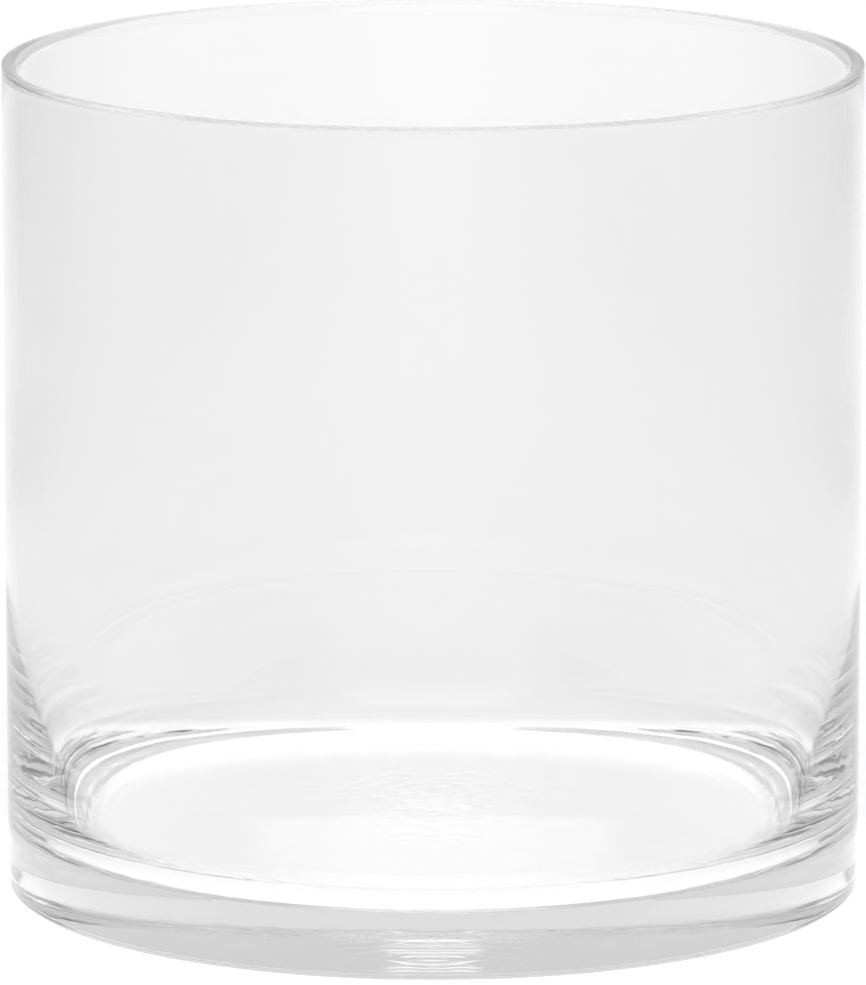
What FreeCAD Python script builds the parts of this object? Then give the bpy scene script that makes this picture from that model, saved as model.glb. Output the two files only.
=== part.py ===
"""Clear glass cylinder vase, blown in one piece: a straight tube with a heavy base and a fire-polished rim.

Millimetres, +Z up. The origin is the centre of the foot, on the plane that the vase stands on.
Every section is drawn in the XZ plane, with radius along X and height along Z, and turned about Z.
"""
import FreeCAD
import Part
import math
import os

import Sketcher

DRIVING = [
    ("outer_radius", 101.6, "outside radius of the straight tube"),
    ("vase_height", 198.0, "foot plane to the top of the rim"),
    ("rim_nose_radius", 3.0, "inner edge of the rim, melted round by the flame"),
    ("rim_edge_radius", 0.6, "outer edge of the rim"),
    ("wall_upper", 4.1, "wall thickness in the upper half"),
    ("wall_waist", 2.6, "thinnest wall"),
    ("thinning_level", 132.0, "height where the wall starts to thin"),
    ("waist_level", 74.0, "height of the thinnest wall"),
    ("heavy_wall_radius", 270.0, "long inner curve from the waist down to the heel"),
    ("heel_radius", 14.0, "inner corner between the heavy wall and the floor"),
    ("floor_thickness", 15.0, "glass under the middle of the inside floor"),
    ("floor_dome_radius", 1600.0, "slight rise of the inside floor towards its middle"),
    ("foot_edge_radius", 2.0, "outer bottom edge"),
    ("foot_ring_radius", 95.0, "inside radius of the ring that touches the table"),
    ("underside_hollow", 1.2, "rise of the underside at its centre"),
]
CLEAR_ABOVE = 5.0
CENTRE = (-1, 1)
V_AXIS = -2
START = 1
END = 2
ARC_CENTRE = 3


def driving_sheet(doc):
    """The spreadsheet that drives every size of the vase."""
    sheet = doc.addObject("Spreadsheet::Sheet", "dimensions")
    for row, (alias, value, meaning) in enumerate(DRIVING, start=1):
        sheet.set("A%d" % row, meaning)
        sheet.set("B%d" % row, str(value))
        sheet.setAlias("B%d" % row, alias)
    doc.recompute()
    return sheet


def section_sketch(body, name):
    """An empty sketch on the body's own XZ plane."""
    sketch = body.newObject("Sketcher::SketchObject", name)
    plane = [item for item in body.Origin.OriginFeatures if item.Role == "XZ_Plane"][0]
    sketch.AttachmentSupport = [(plane, "")]
    sketch.MapMode = "FlatFace"
    return sketch


def point(radius, height):
    """A point of the section."""
    return FreeCAD.Vector(radius, height, 0)


def add_line(sketch, start, end):
    """A straight edge of the section."""
    return sketch.addGeometry(Part.LineSegment(point(*start), point(*end)), False)


def add_arc(sketch, centre, radius, first, last):
    """A counter-clockwise arc between two angles in radians."""
    circle = Part.Circle(point(*centre), FreeCAD.Vector(0, 0, 1), radius)
    return sketch.addGeometry(Part.ArcOfCircle(circle, first, last), False)


def join(sketch, first, first_end, second, second_end, kind="Coincident"):
    """Join two edges at their ends, square or smooth."""
    sketch.addConstraint(Sketcher.Constraint(kind, first, first_end, second, second_end))


def straighten(sketch, kind, edges):
    """Make each edge Horizontal or Vertical."""
    for edge in edges:
        sketch.addConstraint(Sketcher.Constraint(kind, edge))


def drive(sketch, constraint, formula):
    """Bind one dimension of the sketch to the sheet."""
    index = sketch.addConstraint(constraint)
    sketch.setExpression("Constraints[%d]" % index, formula)


def drive_radius(sketch, arc, value, formula):
    """Bind the radius of an arc."""
    drive(sketch, Sketcher.Constraint("Radius", arc, value), formula)


def drive_place(sketch, kind, edge, end, value, formula):
    """Bind the distance of a point from the axis (DistanceX) or from the foot plane (DistanceY)."""
    drive(sketch, Sketcher.Constraint(kind, CENTRE[0], CENTRE[1], edge, end, value), formula)


def turn(body, kind, name, sketch):
    """Turn a section once round the axis, to add glass or to take it away."""
    feature = body.newObject(kind, name)
    feature.Profile = sketch
    feature.ReferenceAxis = (sketch, ["V_Axis"])
    feature.Angle = 360.0
    return feature


def blank_section(body, size):
    """The outside of the vase as one full rectangle beside the axis."""
    sketch = section_sketch(body, "blank_section")
    radius = size["outer_radius"]
    height = size["vase_height"]
    foot = add_line(sketch, (0, 0), (radius, 0))
    side = add_line(sketch, (radius, 0), (radius, height))
    top = add_line(sketch, (radius, height), (0, height))
    axis = add_line(sketch, (0, height), (0, 0))
    join(sketch, foot, END, side, START)
    join(sketch, side, END, top, START)
    join(sketch, top, END, axis, START)
    join(sketch, axis, END, foot, START)
    sketch.addConstraint(Sketcher.Constraint("Coincident", foot, START, *CENTRE))
    straighten(sketch, "Horizontal", [foot, top])
    straighten(sketch, "Vertical", [side, axis])
    drive_place(sketch, "DistanceX", foot, END, radius, "dimensions.outer_radius")
    drive_place(sketch, "DistanceY", side, END, height, "dimensions.vase_height")
    return sketch


def meeting(first, first_reach, second, second_reach):
    """The outer point at one distance from a first centre and at another distance from a second."""
    apart = math.dist(first, second)
    along = (apart ** 2 + first_reach ** 2 - second_reach ** 2) / (2 * apart)
    aside = math.sqrt(first_reach ** 2 - along ** 2)
    way = ((second[0] - first[0]) / apart, (second[1] - first[1]) / apart)
    return (first[0] + along * way[0] + aside * way[1], first[1] + along * way[1] - aside * way[0])


def cavity_points(size):
    """Centres and joining angles of the cavity's arcs, from the driving sizes."""
    outer = size["outer_radius"]
    nose = size["rim_nose_radius"]
    upper = outer - size["wall_upper"]
    waist = outer - size["wall_waist"]
    heavy = size["heavy_wall_radius"]
    heel = size["heel_radius"]
    dome = size["floor_dome_radius"]
    thin_drop = size["thinning_level"] - size["waist_level"]
    thin_step = waist - upper
    thin_radius = (thin_drop ** 2 + thin_step ** 2) / (4 * thin_step)
    heavy_centre = (waist - heavy, size["waist_level"])
    dome_centre = (0, size["floor_thickness"] - dome)
    heel_centre = meeting(dome_centre, dome + heel, heavy_centre, heavy - heel)
    return {
        "upper": upper,
        "waist": waist,
        "nose_centre": (upper + nose, size["vase_height"] - nose),
        "thin_radius": thin_radius,
        "thin_angle": math.asin(thin_drop / (2 * thin_radius)),
        "heavy_centre": heavy_centre,
        "heel_centre": heel_centre,
        "heel_angle": math.atan2(heavy_centre[1] - heel_centre[1], heel_centre[0] - heavy_centre[0]),
        "dome_centre": dome_centre,
        "dome_angle": math.atan2(heel_centre[0], heel_centre[1] - dome_centre[1]),
    }


def cavity_section(body, size):
    """The blown hollow: rounded mouth, upper wall, thinning wall, heavy lower wall, heel and floor."""
    sketch = section_sketch(body, "cavity_section")
    at = cavity_points(size)
    above = size["vase_height"] + CLEAR_ABOVE
    floor = size["floor_thickness"]
    half = math.pi / 2
    land = at["nose_centre"][0]
    wall_top = (at["upper"], at["nose_centre"][1])
    thin_out = (at["upper"] + at["thin_radius"], size["thinning_level"])
    thin_in = (at["waist"] - at["thin_radius"], size["waist_level"])

    axis = add_line(sketch, (0, floor), (0, above))
    lid = add_line(sketch, (0, above), (land, above))
    drop = add_line(sketch, (land, above), (land, size["vase_height"]))
    nose = add_arc(sketch, at["nose_centre"], size["rim_nose_radius"], half, math.pi)
    wall = add_line(sketch, wall_top, (at["upper"], size["thinning_level"]))
    thin_a = add_arc(sketch, thin_out, at["thin_radius"], math.pi, math.pi + at["thin_angle"])
    thin_b = add_arc(sketch, thin_in, at["thin_radius"], 0, at["thin_angle"])
    heavy = add_arc(sketch, at["heavy_centre"], size["heavy_wall_radius"], -at["heel_angle"], 0)
    lean = at["dome_angle"]
    heel = add_arc(sketch, at["heel_centre"], size["heel_radius"], -half - lean, -at["heel_angle"])
    dome = add_arc(sketch, at["dome_centre"], size["floor_dome_radius"], half - lean, half)

    join(sketch, axis, END, lid, START)
    join(sketch, lid, END, drop, START)
    join(sketch, drop, END, nose, START)
    join(sketch, nose, END, wall, START, "Tangent")
    join(sketch, wall, END, thin_a, START, "Tangent")
    join(sketch, thin_a, END, thin_b, END, "Tangent")
    join(sketch, thin_b, START, heavy, END, "Tangent")
    join(sketch, heavy, START, heel, END, "Tangent")
    join(sketch, heel, START, dome, START, "Tangent")
    join(sketch, dome, END, axis, START)
    straighten(sketch, "Vertical", [axis, drop, wall])
    straighten(sketch, "Horizontal", [lid])
    sketch.addConstraint(Sketcher.Constraint("PointOnObject", axis, START, V_AXIS))
    sketch.addConstraint(Sketcher.Constraint("PointOnObject", dome, ARC_CENTRE, V_AXIS))
    sketch.addConstraint(Sketcher.Constraint("Vertical", drop, END, nose, ARC_CENTRE))
    sketch.addConstraint(Sketcher.Constraint("Equal", thin_a, thin_b))
    sketch.addConstraint(Sketcher.Constraint("Horizontal", thin_b, START, thin_b, ARC_CENTRE))

    sheet = "dimensions."
    drive_radius(sketch, nose, size["rim_nose_radius"], sheet + "rim_nose_radius")
    drive_radius(sketch, heavy, size["heavy_wall_radius"], sheet + "heavy_wall_radius")
    drive_radius(sketch, heel, size["heel_radius"], sheet + "heel_radius")
    drive_radius(sketch, dome, size["floor_dome_radius"], sheet + "floor_dome_radius")
    drive_place(sketch, "DistanceY", drop, END, size["vase_height"], sheet + "vase_height")
    drive_place(sketch, "DistanceY", lid, START, above, sheet + "vase_height + %g" % CLEAR_ABOVE)
    drive_place(sketch, "DistanceX", wall, START, at["upper"],
                sheet + "outer_radius - " + sheet + "wall_upper")
    drive_place(sketch, "DistanceY", wall, END, size["thinning_level"], sheet + "thinning_level")
    drive_place(sketch, "DistanceX", thin_b, START, at["waist"],
                sheet + "outer_radius - " + sheet + "wall_waist")
    drive_place(sketch, "DistanceY", thin_b, START, size["waist_level"], sheet + "waist_level")
    drive_place(sketch, "DistanceY", axis, START, floor, sheet + "floor_thickness")
    return sketch


def underside_section(body, size):
    """The shallow hollow under the foot, which leaves a ring to stand on."""
    sketch = section_sketch(body, "underside_section")
    ring = size["foot_ring_radius"]
    rise = size["underside_hollow"]
    radius = (ring ** 2 + rise ** 2) / (2 * rise)
    span = math.asin(ring / radius)
    half = math.pi / 2
    base = add_line(sketch, (ring, 0), (0, 0))
    axis = add_line(sketch, (0, 0), (0, rise))
    dome = add_arc(sketch, (0, rise - radius), radius, half - span, half)
    join(sketch, base, END, axis, START)
    join(sketch, axis, END, dome, END)
    join(sketch, dome, START, base, START)
    sketch.addConstraint(Sketcher.Constraint("Coincident", base, END, *CENTRE))
    straighten(sketch, "Horizontal", [base])
    straighten(sketch, "Vertical", [axis])
    sketch.addConstraint(Sketcher.Constraint("PointOnObject", dome, ARC_CENTRE, V_AXIS))
    drive_place(sketch, "DistanceX", base, START, ring, "dimensions.foot_ring_radius")
    drive_place(sketch, "DistanceY", axis, END, rise, "dimensions.underside_hollow")
    return sketch


def circle_edge(shape, radius, height):
    """Name of the full circle edge with this radius at this height."""
    for index, edge in enumerate(shape.Edges, start=1):
        if edge.Degenerated or not isinstance(edge.Curve, Part.Circle):
            continue
        if abs(edge.Curve.Radius - radius) < 0.01 and abs(edge.Curve.Center.z - height) < 0.01:
            return "Edge%d" % index
    raise RuntimeError("no circle edge of radius %g at height %g" % (radius, height))


def round_edge(doc, body, name, base, edge, formula):
    """Round one circular edge."""
    fillet = body.newObject("PartDesign::Fillet", name)
    fillet.Base = (base, [edge])
    fillet.setExpression("Radius", formula)
    doc.recompute()
    return fillet


def glass_vase(doc, sheet):
    """The whole vase: a blank, hollowed from above and below, with its two outer edges rounded."""
    size = {alias: float(sheet.get(alias)) for alias, _, _ in DRIVING}
    body = doc.addObject("PartDesign::Body", "glass_vase")
    body.Label = "glass_vase"
    body.Placement = FreeCAD.Placement()
    turn(body, "PartDesign::Revolution", "blank", blank_section(body, size))
    turn(body, "PartDesign::Groove", "cavity", cavity_section(body, size))
    hollow = turn(body, "PartDesign::Groove", "underside", underside_section(body, size))
    doc.recompute()
    foot = circle_edge(hollow.Shape, size["outer_radius"], 0)
    foot_round = round_edge(doc, body, "foot_round", hollow, foot, "dimensions.foot_edge_radius")
    rim = circle_edge(foot_round.Shape, size["outer_radius"], size["vase_height"])
    round_edge(doc, body, "rim_round", foot_round, rim, "dimensions.rim_edge_radius")
    return body


def check_document(doc, bodies):
    """Stop on any failed feature, open sketch or invalid solid."""
    for item in doc.Objects:
        if "Invalid" in item.State or "Error" in item.State:
            raise RuntimeError("%s failed: %s" % (item.Name, item.State))
        if item.isDerivedFrom("Sketcher::SketchObject") and item.solve() != 0:
            raise RuntimeError("%s does not solve" % item.Name)
    for body in bodies:
        if body.Shape.isNull() or not body.Shape.isValid() or len(body.Shape.Solids) != 1:
            raise RuntimeError("%s has no valid solid" % body.Label)


def main():
    """Build, check and write the vase."""
    doc = FreeCAD.newDocument("cylinder_vase")
    sheet = driving_sheet(doc)
    bodies = [glass_vase(doc, sheet)]
    doc.recompute()
    check_document(doc, bodies)
    os.makedirs("parts", exist_ok=True)
    for body in bodies:
        body.Shape.exportStep("parts/%s.step" % body.Label)
        box = body.Shape.optimalBoundingBox(False, False)
        print("%s: %.1f x %.1f x %.1f mm, %.1f cm3"
              % (body.Label, box.XLength, box.YLength, box.ZLength, body.Shape.Volume / 1000))


main()
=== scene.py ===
"""Clear glass cylinder vase on a pale floor that glows with painted light: one blown piece of glass, built
from its section.
"""
import math

import bmesh
import bpy
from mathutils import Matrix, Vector, noise


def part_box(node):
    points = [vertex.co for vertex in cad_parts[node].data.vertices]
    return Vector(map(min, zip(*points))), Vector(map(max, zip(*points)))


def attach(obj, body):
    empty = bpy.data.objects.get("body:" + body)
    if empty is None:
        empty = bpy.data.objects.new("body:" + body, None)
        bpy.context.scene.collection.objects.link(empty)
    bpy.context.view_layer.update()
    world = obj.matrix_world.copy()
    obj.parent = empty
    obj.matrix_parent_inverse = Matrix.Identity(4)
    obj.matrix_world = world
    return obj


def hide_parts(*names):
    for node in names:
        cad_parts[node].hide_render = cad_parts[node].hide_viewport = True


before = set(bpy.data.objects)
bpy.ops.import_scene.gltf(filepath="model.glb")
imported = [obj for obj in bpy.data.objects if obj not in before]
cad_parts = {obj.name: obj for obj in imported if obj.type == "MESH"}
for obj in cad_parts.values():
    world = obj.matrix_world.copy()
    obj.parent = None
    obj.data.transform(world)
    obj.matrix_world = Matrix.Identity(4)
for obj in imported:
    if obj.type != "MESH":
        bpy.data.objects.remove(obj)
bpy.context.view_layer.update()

NODE = "glass_vase"
LOW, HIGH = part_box(NODE)
RADIUS = min(HIGH[0] - LOW[0], HIGH[1] - LOW[1]) / 2
HEIGHT = HIGH[2] - LOW[2]

MM = 0.001

# The section, as in the CAD.
RIM_NOSE = 3.0 * MM
RIM_EDGE = 0.6 * MM
WALL_UPPER = 4.1 * MM
WALL_WAIST = 2.6 * MM
THINNING_LEVEL = 132.0 * MM
WAIST_LEVEL = 74.0 * MM
HEAVY_WALL = 270.0 * MM
HEEL = 14.0 * MM
FLOOR = 15.0 * MM
FLOOR_DOME = 1600.0 * MM
FOOT_EDGE = 2.0 * MM
FOOT_RING = 95.0 * MM
HOLLOW = 1.2 * MM
AROUND = 400
CLOSE = 0.05 * MM
SAME_POINT = 1e-7

# The relief: how deep each kind of unevenness is, how wide its waves are and where it lies.
WALL_WAVE = 0.004 * MM
WALL_WAVE_WIDTH = 24.0 * MM
WALL_WAVE_STRETCH = 4.0
STREAK_TOP = 72.0 * MM
STREAK_DEPTH = 0.03 * MM
STREAK_WIDTH = 1.2 * MM
STREAK_LENGTH = 40.0 * MM
STREAK_TWIST = 12.0
UNDERSIDE_BUMP = 0.007 * MM
UNDERSIDE_BROAD = 8.0 * MM
UNDERSIDE_FINE = 3.0 * MM
UNDERSIDE_FINE_SHARE = 0.3
UNDERSIDE_FADE = 6.0 * MM
RING_AT = 85.8 * MM
RING_DEPTH = 0.016 * MM
RING_REACH = 2.2 * MM
RING_WAVE = 1.3 * MM
STEP_AT = 80.0 * MM
STEP_DEPTH = 0.02 * MM
STEP_REACH = 3.0 * MM
STEP_WAVE = 6.0 * MM
CENTRE_AT = 9.0 * MM
CENTRE_DEPTH = 0.04 * MM
CENTRE_REACH = 14.0 * MM
CENTRE_WAVE = 5.5 * MM
CENTRE_WANDER = 0.35
CENTRE_WANDER_WIDTH = 8.0 * MM
FLOOR_WAVE = 0.006 * MM
FLOOR_WAVE_WIDTH = 13.0 * MM
FLOOR_WAVE_FROM = 40.0 * MM

# The camera.
VIEW_DISTANCE = 21.67 * RADIUS
VIEW_HEIGHT = 5.225 * RADIUS
VIEW_PITCH = math.radians(11.22)
LENS = 345.3

# The pale floor, in metres. GLOW is painted light: the floor's own glow by the distance from GLOW_AT on the
# Y axis, a painted pool brightest in a ring under the back of the vase.
FLOOR_REACH = 20.0
FLOOR_GAP = 0.1 * MM
FLOOR_ALBEDO = 0.5
GLOW_AT = -0.05
GLOW = [(0, 0.69), (0.1, 0.69), (0.114, 0.95), (0.146, 0.95), (0.156, 0.52), (1, 0.55)]
# Painted shade: from SIDE_NEAR to SIDE_FAR sideways from the middle, the floor's glow and its colour both
# dim, down to the share given on the line after them.
SIDE_NEAR = 0.12
SIDE_FAR = 0.8
SIDE_PAINTED_SHADE_SHARE = 0.72

# The room, the same on the left and the right: each patch has its share by bearing from the +Y axis, its
# share by height, both in degrees, and the light that it adds to the walls.
WALL_LIGHT = 0.85
BACK_SOFTBOX = (
    [(0, 1), (4, 1), (5, 0), (180, 0)],
    [(0, 0), (16.5, 0), (17.5, 1), (34, 1), (38, 0), (90, 0)],
    0.5,
)
FRONT_SOFTBOX = (
    [(0, 0), (148, 0), (156, 1), (180, 1)],
    [(0, 0), (8, 0), (14, 1), (60, 1), (70, 0), (90, 0)],
    1.0,
)
DIM_SIDES = (
    [(0, 0), (44, 0), (50, 1), (138, 1), (150, 0), (180, 0)],
    [(0, 0.85), (9, 0.85), (12, 0), (15.5, 0), (17, 1), (27, 1), (33, 0), (90, 0)],
    -0.75,
)
OVERHEAD_POWER = 2.0
OVERHEAD_SIZE = (1.2, 0.9)
OVERHEAD_AT = (0, 0.5, 2.0)
BOUNCES = 256

# The glass.
GLASS_COLOUR = 0.94
GLASS_IOR = 1.52
ABSORPTION = 1.3
GRAIN = 0.4 * MM
GROUND_ROUGHNESS = 0.5


def arc(centre, radius, first, last, steps):
    """Points of an arc of the section, between two angles in radians."""
    turns = (first + (last - first) * i / steps for i in range(steps + 1))
    return [(centre[0] + radius * math.cos(t), centre[1] + radius * math.sin(t)) for t in turns]


def run(start, end, steps):
    """Points of a straight stretch, with one more close to each end so that its shading stays straight."""
    close = CLOSE / math.dist(start, end)
    shares = sorted([i / steps for i in range(steps + 1)] + [close, 1 - close])
    return [(start[0] + (end[0] - start[0]) * t, start[1] + (end[1] - start[1]) * t) for t in shares]


def thinning(top, bottom, steps):
    """A smooth S of two equal arcs down the inner wall, upright at both ends, between two thicknesses."""
    step = bottom[0] - top[0]
    drop = top[1] - bottom[1]
    bend = (drop ** 2 + step ** 2) / (4 * step)
    turn = math.asin(drop / (2 * bend))
    first = arc((top[0] + bend, top[1]), bend, math.pi, math.pi + turn, steps // 2)
    return first + arc((bottom[0] - bend, bottom[1]), bend, turn, 0, steps // 2)


def meeting(first, first_reach, second, second_reach):
    """The outer point that lies at one distance from a first centre and at another from a second."""
    apart = math.dist(first, second)
    along = (apart ** 2 + first_reach ** 2 - second_reach ** 2) / (2 * apart)
    aside = math.sqrt(first_reach ** 2 - along ** 2)
    way = ((second[0] - first[0]) / apart, (second[1] - first[1]) / apart)
    return (first[0] + along * way[0] + aside * way[1], first[1] + along * way[1] - aside * way[0])


def section():
    """The whole outline, from the middle of the underside, up the outside, and down to the inside floor."""
    half = math.pi / 2
    dome = (FOOT_RING ** 2 + HOLLOW ** 2) / (2 * HOLLOW)
    span = math.asin(FOOT_RING / dome)
    upper = RADIUS - WALL_UPPER
    waist = RADIUS - WALL_WAIST
    nose = (upper + RIM_NOSE, HEIGHT - RIM_NOSE)
    heavy = (waist - HEAVY_WALL, WAIST_LEVEL)
    middle = (0, FLOOR - FLOOR_DOME)
    heel = meeting(middle, FLOOR_DOME + HEEL, heavy, HEAVY_WALL - HEEL)
    heel_turn = math.atan2(heavy[1] - heel[1], heel[0] - heavy[0])
    lean = math.atan2(heel[0], heel[1] - middle[1])
    parts = [
        ("underside", arc((0, HOLLOW - dome), dome, half, half - span, 80)),
        ("foot", run((FOOT_RING, 0), (RADIUS - FOOT_EDGE, 0), 3)),
        ("foot", arc((RADIUS - FOOT_EDGE, FOOT_EDGE), FOOT_EDGE, -half, 0, 8)),
        ("outside", run((RADIUS, FOOT_EDGE), (RADIUS, HEIGHT - RIM_EDGE), 20)),
        ("rim", arc((RADIUS - RIM_EDGE, HEIGHT - RIM_EDGE), RIM_EDGE, 0, half, 10)),
        ("rim", run((RADIUS - RIM_EDGE, HEIGHT), (nose[0], HEIGHT), 2)),
        ("rim", arc(nose, RIM_NOSE, half, math.pi, 14)),
        ("wall", run((upper, nose[1]), (upper, THINNING_LEVEL), 6)),
        ("wall", thinning((upper, THINNING_LEVEL), (waist, WAIST_LEVEL), 12)),
        ("wall", arc(heavy, HEAVY_WALL, 0, -heel_turn, 34)),
        ("heel", arc(heel, HEEL, -heel_turn, -half - lean, 60)),
        ("floor", arc(middle, FLOOR_DOME, half - lean, half, 90)),
    ]
    points = []
    for zone, part in parts:
        for p in part:
            if not points or math.dist(points[-1][1], p) > SAME_POINT:
                points.append((zone, p))
    return points


def ripple(radius, middle, reach, wave):
    """A few concentric waves that die away from the middle radius."""
    away = (radius - middle) / reach
    return math.cos(2 * math.pi * (radius - middle) / wave) * math.exp(-away * away)


def waves(x, y, z, size, seed):
    """Smooth noise, about -1 to 1, whose bumps are as large as size, the same on the left and the right."""
    return noise.noise(Vector((abs(x) / size + seed, y / size, z / size)))


def streaks(x, y, z):
    """Slanting cords in the heavy lower wall, left by the gather as it was turned in the mould."""
    turn = math.atan2(abs(x), -y) + STREAK_TWIST * z
    long_way = z / STREAK_LENGTH
    return noise.noise(Vector((RADIUS * turn / STREAK_WIDTH, long_way, 7.3)))


def relief(zone, x, y, z):
    """How far the blown surface stands out from the drawn one, along its own normal."""
    radius = math.hypot(x, y)
    low = max(0.0, 1 - z / STREAK_TOP)
    if zone == "underside":
        fade = min(1.0, (FOOT_RING - radius) / UNDERSIDE_FADE)
        bumps = waves(x, y, z, UNDERSIDE_BROAD, 3.1)
        bumps += UNDERSIDE_FINE_SHARE * waves(x, y, z, UNDERSIDE_FINE, 5.9)
        return UNDERSIDE_BUMP * fade * bumps
    if zone == "wall":
        sag = WALL_WAVE * waves(x, y, z / WALL_WAVE_STRETCH, WALL_WAVE_WIDTH, 1.7)
        return sag + STREAK_DEPTH * low * streaks(x, y, z)
    ring = RING_DEPTH * ripple(radius, RING_AT, RING_REACH, RING_WAVE)
    if zone == "heel":
        return STREAK_DEPTH * streaks(x, y, z) + ring
    if zone == "floor":
        wander = 1 + CENTRE_WANDER * waves(x, y, z, CENTRE_WANDER_WIDTH, 9.2)
        centre = CENTRE_DEPTH * ripple(radius * wander, CENTRE_AT, CENTRE_REACH, CENTRE_WAVE)
        step = STEP_DEPTH * ripple(radius, STEP_AT, STEP_REACH, STEP_WAVE)
        outer = min(1.0, radius / FLOOR_WAVE_FROM)
        return centre + ring + step + FLOOR_WAVE * outer * waves(x, y, z, FLOOR_WAVE_WIDTH, 2.4)
    return 0.0


def normals(points):
    """The outward normal of the section at each of its points."""
    out = []
    for i, point in enumerate(points):
        before, after = points[max(i - 1, 0)], points[min(i + 1, len(points) - 1)]
        along = Vector((after[0] - before[0], after[1] - before[1])).normalized()
        out.append((along.y, -along.x))
    return out


def turned(name, drawn):
    """A closed mesh of revolution with the glass's relief; its first and last points lie on the axis."""
    zones = [zone for zone, _ in drawn]
    points = [point for _, point in drawn]
    facing = normals(points)
    bm = bmesh.new()
    rings = []
    for zone, (radius, height), (out, up) in list(zip(zones, points, facing))[1:-1]:
        ring = []
        for k in range(AROUND):
            turn = 2 * math.pi * k / AROUND
            cos, sin = math.cos(turn), math.sin(turn)
            lift = relief(zone, radius * cos, radius * sin, height)
            reach = radius + out * lift
            ring.append(bm.verts.new((reach * cos, reach * sin, height + up * lift)))
        rings.append(ring)
    first = bm.verts.new((0, 0, points[0][1]))
    last = bm.verts.new((0, 0, points[-1][1] + relief(zones[-1], 0, 0, points[-1][1])))
    for k in range(AROUND):
        n = (k + 1) % AROUND
        bm.faces.new((first, rings[0][n], rings[0][k]))
        bm.faces.new((last, rings[-1][k], rings[-1][n]))
        for a, b in zip(rings, rings[1:]):
            bm.faces.new((a[k], a[n], b[n], b[k]))
    bmesh.ops.recalc_face_normals(bm, faces=bm.faces)
    for face in bm.faces:
        face.smooth = True
    mesh = bpy.data.meshes.new(name)
    bm.to_mesh(mesh)
    bm.free()
    piece = bpy.data.objects.new(name, mesh)
    bpy.context.scene.collection.objects.link(piece)
    return piece


def maths(tree, operation, first, second=None):
    """One sum of a node tree; each side is a socket or a number."""
    node = tree.nodes.new("ShaderNodeMath")
    node.operation = operation
    for socket, value in zip(node.inputs, (first, second)):
        if isinstance(value, bpy.types.NodeSocket):
            tree.links.new(value, socket)
        elif value is not None:
            socket.default_value = value
    return node.outputs[0]


def graph(tree, value, points):
    """A graph of straight stretches through the given points, which run from 0 to 1."""
    node = tree.nodes.new("ShaderNodeFloatCurve")
    curve = node.mapping.curves[0]
    curve.points[0].location = points[0]
    curve.points[1].location = points[-1]
    for place in points[1:-1]:
        curve.points.new(*place)
    for point in curve.points:
        point.handle_type = "VECTOR"
    node.mapping.update()
    tree.links.new(value, node.inputs["Value"])
    return node.outputs["Value"]


def glass():
    """Clear soda-lime glass, with a speckled, finely ground ring where the foot stands."""
    material = bpy.data.materials.new("clear_glass")
    material.use_nodes = True
    tree = material.node_tree
    shader = tree.nodes["Principled BSDF"]
    shader.inputs["Base Color"].default_value = (GLASS_COLOUR, GLASS_COLOUR, GLASS_COLOUR, 1)
    shader.inputs["Transmission Weight"].default_value = 1
    shader.inputs["IOR"].default_value = GLASS_IOR
    body = tree.nodes.new("ShaderNodeVolumeAbsorption")
    body.inputs["Color"].default_value = (0, 0, 0, 1)
    body.inputs["Density"].default_value = ABSORPTION
    tree.links.new(body.outputs[0], tree.nodes["Material Output"].inputs["Volume"])
    place = tree.nodes.new("ShaderNodeTexCoord")
    axes = tree.nodes.new("ShaderNodeSeparateXYZ")
    tree.links.new(place.outputs["Object"], axes.inputs[0])
    grain = tree.nodes.new("ShaderNodeTexNoise")
    grain.inputs["Scale"].default_value = 1 / GRAIN
    tree.links.new(place.outputs["Object"], grain.inputs["Vector"])
    reach = tree.nodes.new("ShaderNodeVectorMath")
    reach.operation = "LENGTH"
    tree.links.new(place.outputs["Object"], reach.inputs[0])
    low = maths(tree, "LESS_THAN", axes.outputs["Z"], CLOSE)
    outer = maths(tree, "GREATER_THAN", reach.outputs["Value"], FOOT_RING)
    ground = maths(tree, "MULTIPLY", maths(tree, "MULTIPLY", low, outer), GROUND_ROUGHNESS)
    tree.links.new(maths(tree, "MULTIPLY", ground, grain.outputs["Fac"]), shader.inputs["Roughness"])
    return material


def camera():
    """The photograph's viewing angle, from the front and a little above."""
    data = bpy.data.cameras.new("camera")
    data.lens = LENS
    data.sensor_width = 36
    data.clip_end = 100
    cam = bpy.data.objects.new("camera", data)
    cam.location = (0, -VIEW_DISTANCE, VIEW_HEIGHT)
    cam.rotation_euler = (math.pi / 2 - VIEW_PITCH, 0, 0)
    bpy.context.scene.collection.objects.link(cam)
    bpy.context.scene.camera = cam


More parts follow.
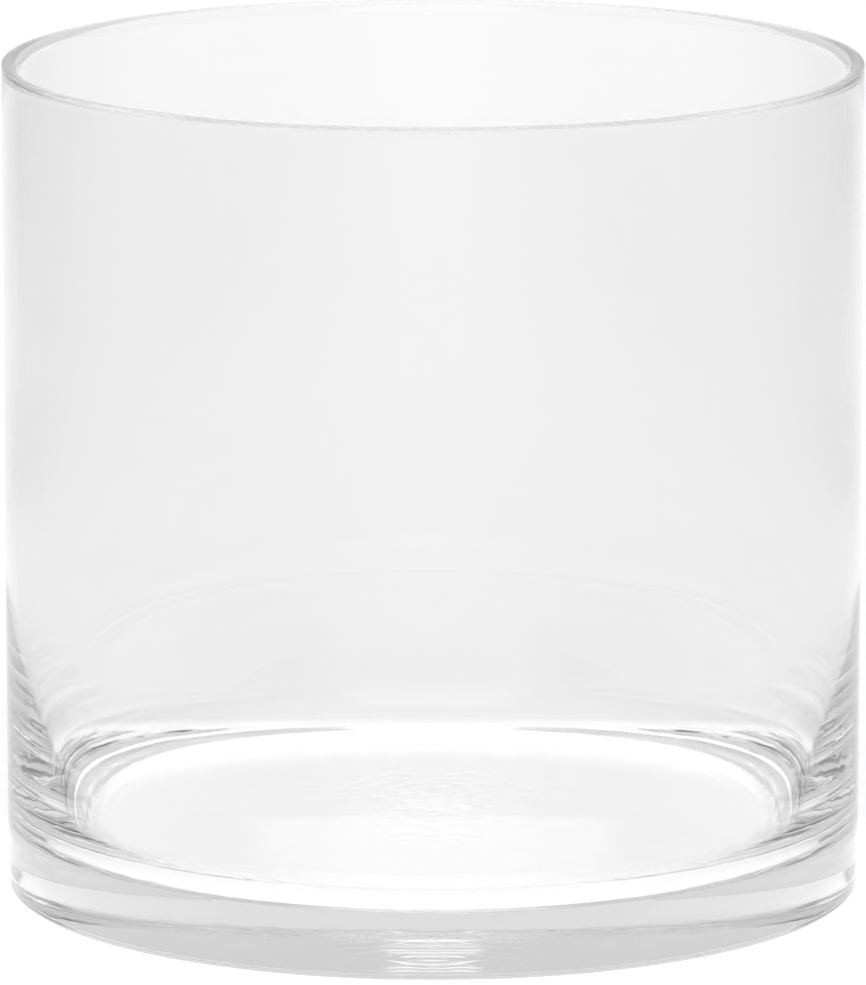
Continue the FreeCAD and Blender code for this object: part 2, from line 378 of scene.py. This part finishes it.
def painted_glow_floor():
    """A white floor that glows with painted light: a painted pool, brighter in a ring under the back of the
    vase and round its front, and painted shade on the dimmer sides.
    """
    material = bpy.data.materials.new("painted_glow_floor")
    material.use_nodes = True
    tree = material.node_tree
    shader = tree.nodes["Principled BSDF"]
    shader.inputs["Roughness"].default_value = 1
    shader.inputs["Specular IOR Level"].default_value = 0
    shader.inputs["Emission Color"].default_value = (1, 1, 1, 1)
    place = tree.nodes.new("ShaderNodeTexCoord")
    reach = tree.nodes.new("ShaderNodeVectorMath")
    reach.operation = "DISTANCE"
    reach.inputs[1].default_value = (0, GLOW_AT, 0)
    tree.links.new(place.outputs["Object"], reach.inputs[0])
    # Painted light: the floor's glow, a pool brightest in a ring under the back of the vase and round its
    # front.
    glow = graph(tree, reach.outputs["Value"], GLOW)
    axes = tree.nodes.new("ShaderNodeSeparateXYZ")
    tree.links.new(place.outputs["Object"], axes.inputs[0])
    # Painted shade: the floor is dimmer towards the sides, in its glow and in its colour.
    aside = tree.nodes.new("ShaderNodeMapRange")
    aside.inputs["From Min"].default_value = SIDE_NEAR
    aside.inputs["From Max"].default_value = SIDE_FAR
    aside.inputs["To Min"].default_value = 1
    aside.inputs["To Max"].default_value = SIDE_PAINTED_SHADE_SHARE
    tree.links.new(maths(tree, "ABSOLUTE", axes.outputs["X"]), aside.inputs["Value"])
    strength = maths(tree, "MULTIPLY", glow, aside.outputs["Result"])
    # Painted shade in the floor's colour as well as in its glow.
    albedo = maths(tree, "MULTIPLY", aside.outputs["Result"], FLOOR_ALBEDO)
    tree.links.new(strength, shader.inputs["Emission Strength"])
    tree.links.new(albedo, shader.inputs["Base Color"])
    return material


def patch(tree, turn, rise, place):
    """A soft-edged patch of the room, from its graphs over bearing and height in degrees and its light."""
    bearings, heights, light = place
    round_room = [(degrees / 180, share) for degrees, share in bearings]
    up_wall = [(math.sin(math.radians(degrees)), share) for degrees, share in heights]
    across = graph(tree, maths(tree, "DIVIDE", turn, math.pi), round_room)
    up = graph(tree, rise, up_wall)
    return maths(tree, "MULTIPLY", maths(tree, "MULTIPLY", across, up), light)


def room_light(tree, back):
    """White walls with a tall softbox behind the vase, another behind the camera, and dimmer sides."""
    way = tree.nodes.new("ShaderNodeTexCoord")
    axes = tree.nodes.new("ShaderNodeSeparateXYZ")
    tree.links.new(way.outputs["Generated"], axes.inputs[0])
    turn = maths(tree, "ARCTAN2", maths(tree, "ABSOLUTE", axes.outputs["X"]), axes.outputs["Y"])
    light = WALL_LIGHT
    for place in (BACK_SOFTBOX, FRONT_SOFTBOX, DIM_SIDES):
        light = maths(tree, "ADD", light, patch(tree, turn, axes.outputs["Z"], place))
    tree.links.new(light, back.inputs["Strength"])


def floor():
    """The round floor, just below the foot."""
    bm = bmesh.new()
    bmesh.ops.create_circle(bm, cap_ends=True, segments=64, radius=FLOOR_REACH)
    mesh = bpy.data.meshes.new("floor")
    bm.to_mesh(mesh)
    bm.free()
    ground = bpy.data.objects.new("floor", mesh)
    ground.location.z = -FLOOR_GAP
    bpy.context.scene.collection.objects.link(ground)
    mesh.materials.append(painted_glow_floor())


def lights():
    """The room's own light and one soft light overhead."""
    world = bpy.data.worlds.new("studio")
    bpy.context.scene.world = world
    world.use_nodes = True
    back = world.node_tree.nodes["Background"]
    back.inputs["Color"].default_value = (1, 1, 1, 1)
    room_light(world.node_tree, back)

    data = bpy.data.lights.new("overhead", "AREA")
    data.shape = "RECTANGLE"
    data.size, data.size_y = OVERHEAD_SIZE
    data.energy = OVERHEAD_POWER
    light = bpy.data.objects.new("overhead", data)
    light.location = OVERHEAD_AT
    bpy.context.scene.collection.objects.link(light)


def light_paths():
    """Enough bounces for light that runs a long way inside the glass, and no tone curve."""
    scene = bpy.context.scene
    scene.view_settings.view_transform = "Standard"
    scene.cycles.max_bounces = BOUNCES
    scene.cycles.transmission_bounces = BOUNCES
    scene.cycles.glossy_bounces = BOUNCES
    scene.cycles.caustics_reflective = True
    scene.cycles.caustics_refractive = True
    scene.cycles.blur_glossy = 0


camera()
floor()
lights()
light_paths()
vase = turned("vase_glass", section())
vase.data.materials.append(glass())
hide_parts(NODE)
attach(vase, "root")
